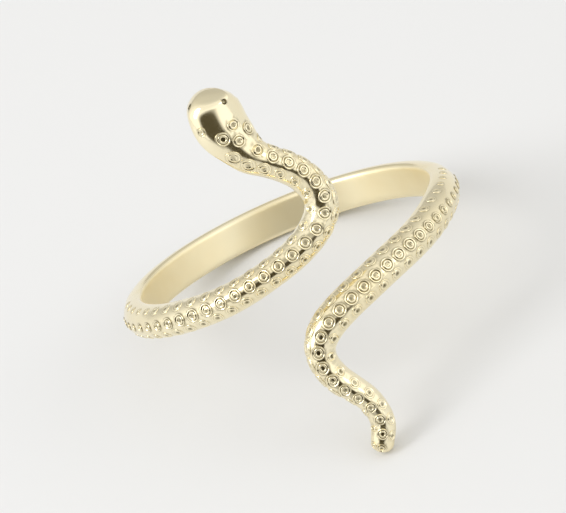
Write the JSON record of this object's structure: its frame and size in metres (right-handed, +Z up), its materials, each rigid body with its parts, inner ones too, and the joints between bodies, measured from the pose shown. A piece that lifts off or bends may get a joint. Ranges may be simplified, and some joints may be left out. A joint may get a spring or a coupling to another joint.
{
  "type": "snake wrap ring",
  "caption": "Open finger ring cast as a snake laid round the finger, head standing up and tail hanging down at the front, with rows of cup-shaped scales.",
  "frame": {"origin": "on the surface the ring lies on, under the middle of its box", "axes": "+Z up; -Y is the front, where head and tail are; +X to the right seen from the front. The finger's axis leans from +Z towards +Y, and is the axis of the mount finger_clamp."},
  "size_m": [0.0202, 0.022, 0.0203],
  "materials": {
    "gold": "polished pale yellow gold colour"
  },
  "bodies": {
    "root": {"snake_ring": "gold"}
  },
  "joints": []
}
